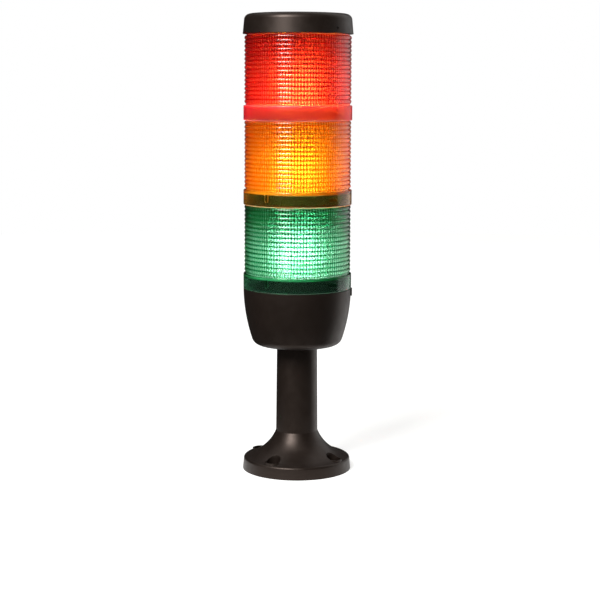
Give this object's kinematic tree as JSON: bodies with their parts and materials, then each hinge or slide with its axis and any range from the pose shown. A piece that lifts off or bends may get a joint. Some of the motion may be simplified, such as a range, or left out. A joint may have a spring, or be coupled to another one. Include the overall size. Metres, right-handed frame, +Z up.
{
  "type": "stack light",
  "caption": "Machine status tower: ribbed red, amber and green lens modules on a black housing, pole and round screw-down foot, with bayonet joints between the modules and a cap.",
  "frame": {"origin": "centre of the foot's underside, where it stands on the machine", "axes": "+Z up along the tower's axis, the front faces -Y"},
  "size_m": [0.0712, 0.071, 0.2964],
  "materials": {
    "black_plastic": "satin",
    "white_plastic": "satin",
    "grey_plastic": "satin",
    "steel": "satin",
    "contact_brass": "polished",
    "seal_rubber": "matte",
    "board_laminate": "satin",
    "green_lens_plastic": "polished",
    "amber_lens_plastic": "polished",
    "red_lens_plastic": "polished",
    "green_light": "polished",
    "amber_light": "polished",
    "red_light": "polished"
  },
  "bodies": {
    "base": {"mounting_foot": "black_plastic", "base_housing": "black_plastic", "pole_nut": "black_plastic", "contact_plate": "white_plastic", "plate_screws": "steel", "terminal_block": "grey_plastic", "terminal_screws": "steel", "base_contact_pads": "contact_brass", "base_seal": "seal_rubber"},
    "green_module": {"green_lens": "green_lens_plastic", "green_carrier": "white_plastic", "green_light_board": "board_laminate", "green_light_sources": "green_light", "green_contact_head": "white_plastic", "green_contact_pads": "contact_brass", "green_contact_pins": "contact_brass", "green_seal": "seal_rubber"},
    "amber_module": {"amber_lens": "amber_lens_plastic", "amber_carrier": "white_plastic", "amber_light_board": "board_laminate", "amber_light_sources": "amber_light", "amber_contact_head": "white_plastic", "amber_contact_pads": "contact_brass", "amber_contact_pins": "contact_brass", "amber_seal": "seal_rubber"},
    "red_module": {"red_lens": "red_lens_plastic", "red_carrier": "white_plastic", "red_light_board": "board_laminate", "red_light_sources": "red_light", "red_contact_head": "white_plastic", "red_contact_pads": "contact_brass", "red_contact_pins": "contact_brass", "red_seal": "seal_rubber"},
    "cap": {"top_cap": "black_plastic"}
  },
  "joints": [
    {"name": "green_twist", "type": "hinge", "parent": "base", "child": "green_module", "pos_m": [0, 0, 0.11965], "axis": [0, 0, 1], "range_deg": [0, 18]},
    {"name": "amber_twist", "type": "hinge", "parent": "green_module", "child": "amber_module", "pos_m": [0, 0, 0.1739], "axis": [0, 0, 1], "range_deg": [0, 18]},
    {"name": "red_twist", "type": "hinge", "parent": "amber_module", "child": "red_module", "pos_m": [0, 0, 0.22815], "axis": [0, 0, 1], "range_deg": [0, 18]},
    {"name": "cap_twist", "type": "hinge", "parent": "red_module", "child": "cap", "pos_m": [0, 0, 0.2824], "axis": [0, 0, 1], "range_deg": [0, 18]}
  ]
}
